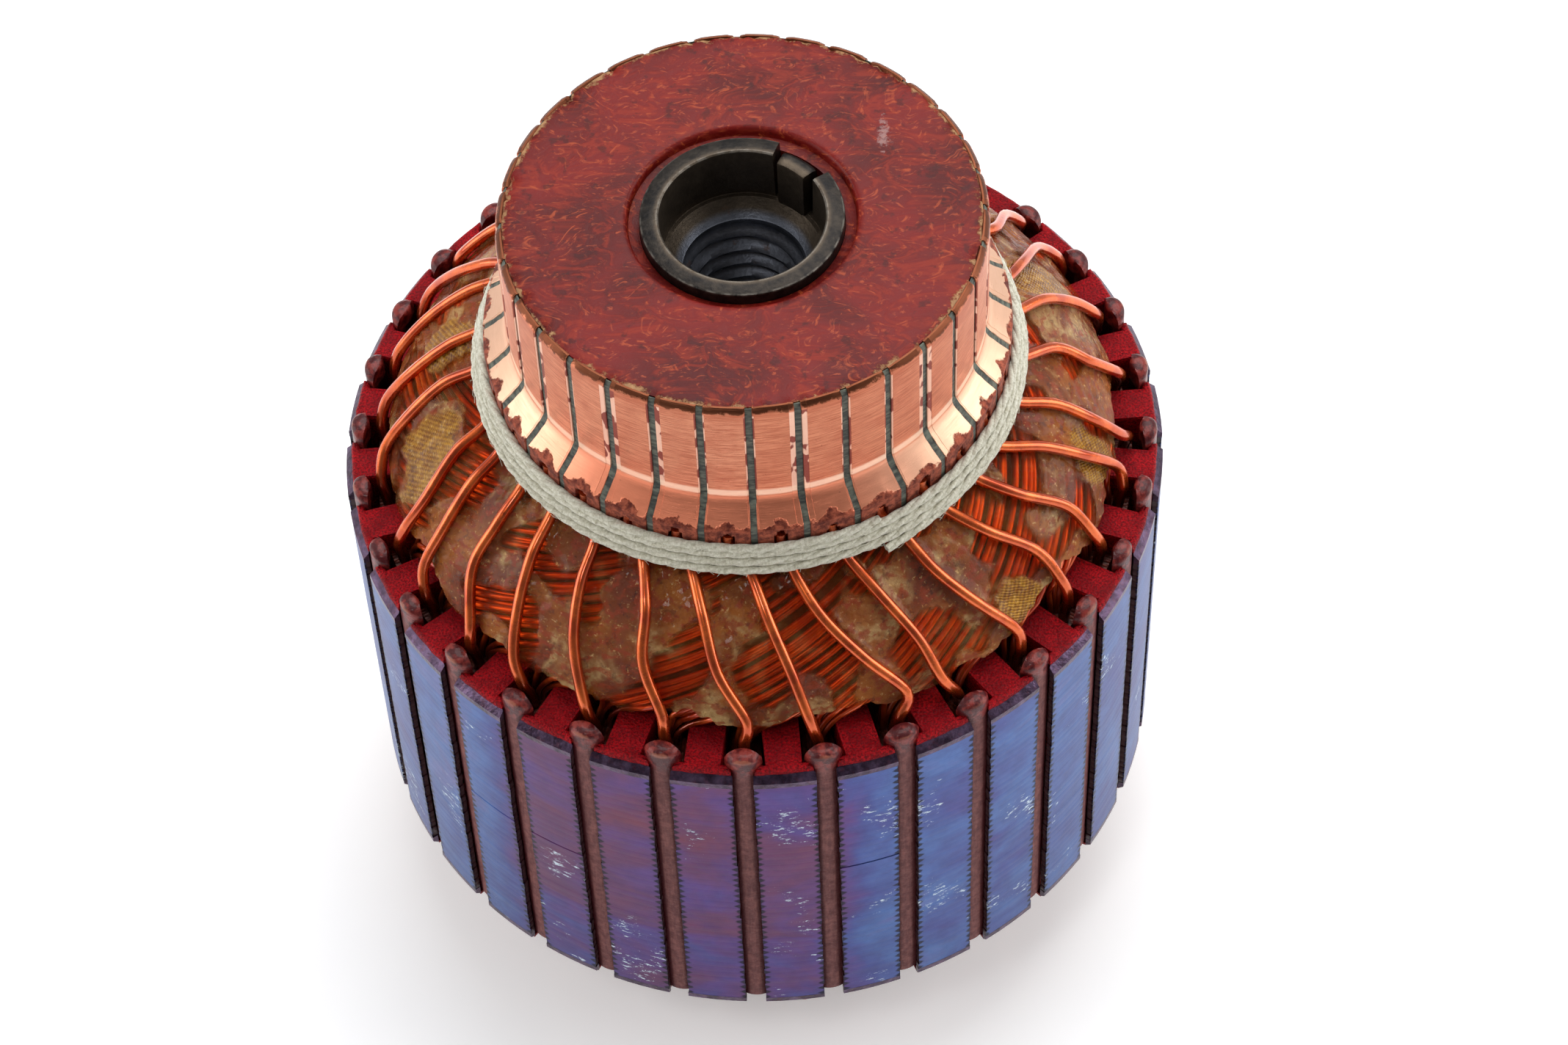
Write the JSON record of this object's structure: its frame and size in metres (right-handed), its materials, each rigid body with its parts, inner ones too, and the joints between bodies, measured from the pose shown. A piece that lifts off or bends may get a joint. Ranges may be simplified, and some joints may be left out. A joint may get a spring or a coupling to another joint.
{
  "type": "wound commutator armature",
  "caption": "Wound drum armature of a small direct-current motor, with a ground slotted core, a moulded commutator on top and a threaded shaft sleeve.",
  "frame": {"origin": "centre of the shaft sleeve's foot face, the lowest point of the armature", "axes": "+Z along the shaft axis, from the foot up to the commutator; a core slot is centred on +X"},
  "size_m": [0.041, 0.041, 0.0459],
  "materials": {
    "core_steel": "ground and heat blued",
    "end_steel": "blued edge, unground",
    "red_coat": "satin baked insulating powder",
    "wedge_fibre": "varnished pressed fibre",
    "winding_copper": "enamelled and varnished copper wire",
    "lead_copper": "enamelled copper wire",
    "cloth": "varnish-soaked woven cloth",
    "cord": "twisted cord",
    "black_steel": "black oxide",
    "moulding": "fibre-filled phenolic, faced off",
    "bar_copper": "turned bare copper",
    "mica": "matt pressed mica",
    "ring_steel": "plain",
    "braze": "brazing metal",
    "insulator": "laminated insulating tube"
  },
  "bodies": {
    "root": {"lamination_stack": "core_steel", "end_lamination_top": "end_steel", "end_lamination_bottom": "end_steel", "end_coat_top": "red_coat", "end_coat_bottom": "red_coat", "slot_liners": "red_coat", "slot_wedges": "wedge_fibre", "coil_sides_outer": "winding_copper", "slot_separators": "insulator", "coil_sides_inner": "winding_copper", "end_winding_top": "winding_copper", "end_winding_bottom": "winding_copper", "cloth_cover": "cloth", "coil_leads": "lead_copper", "binding_cord": "cord", "shaft_sleeve": "black_steel", "neck_insulator": "insulator", "end_collar": "insulator", "commutator_bars": "bar_copper", "mica_segments": "mica", "commutator_hub": "moulding", "hub_ring_front": "ring_steel", "hub_ring_rear": "ring_steel", "riser_joints": "braze"}
  },
  "joints": []
}
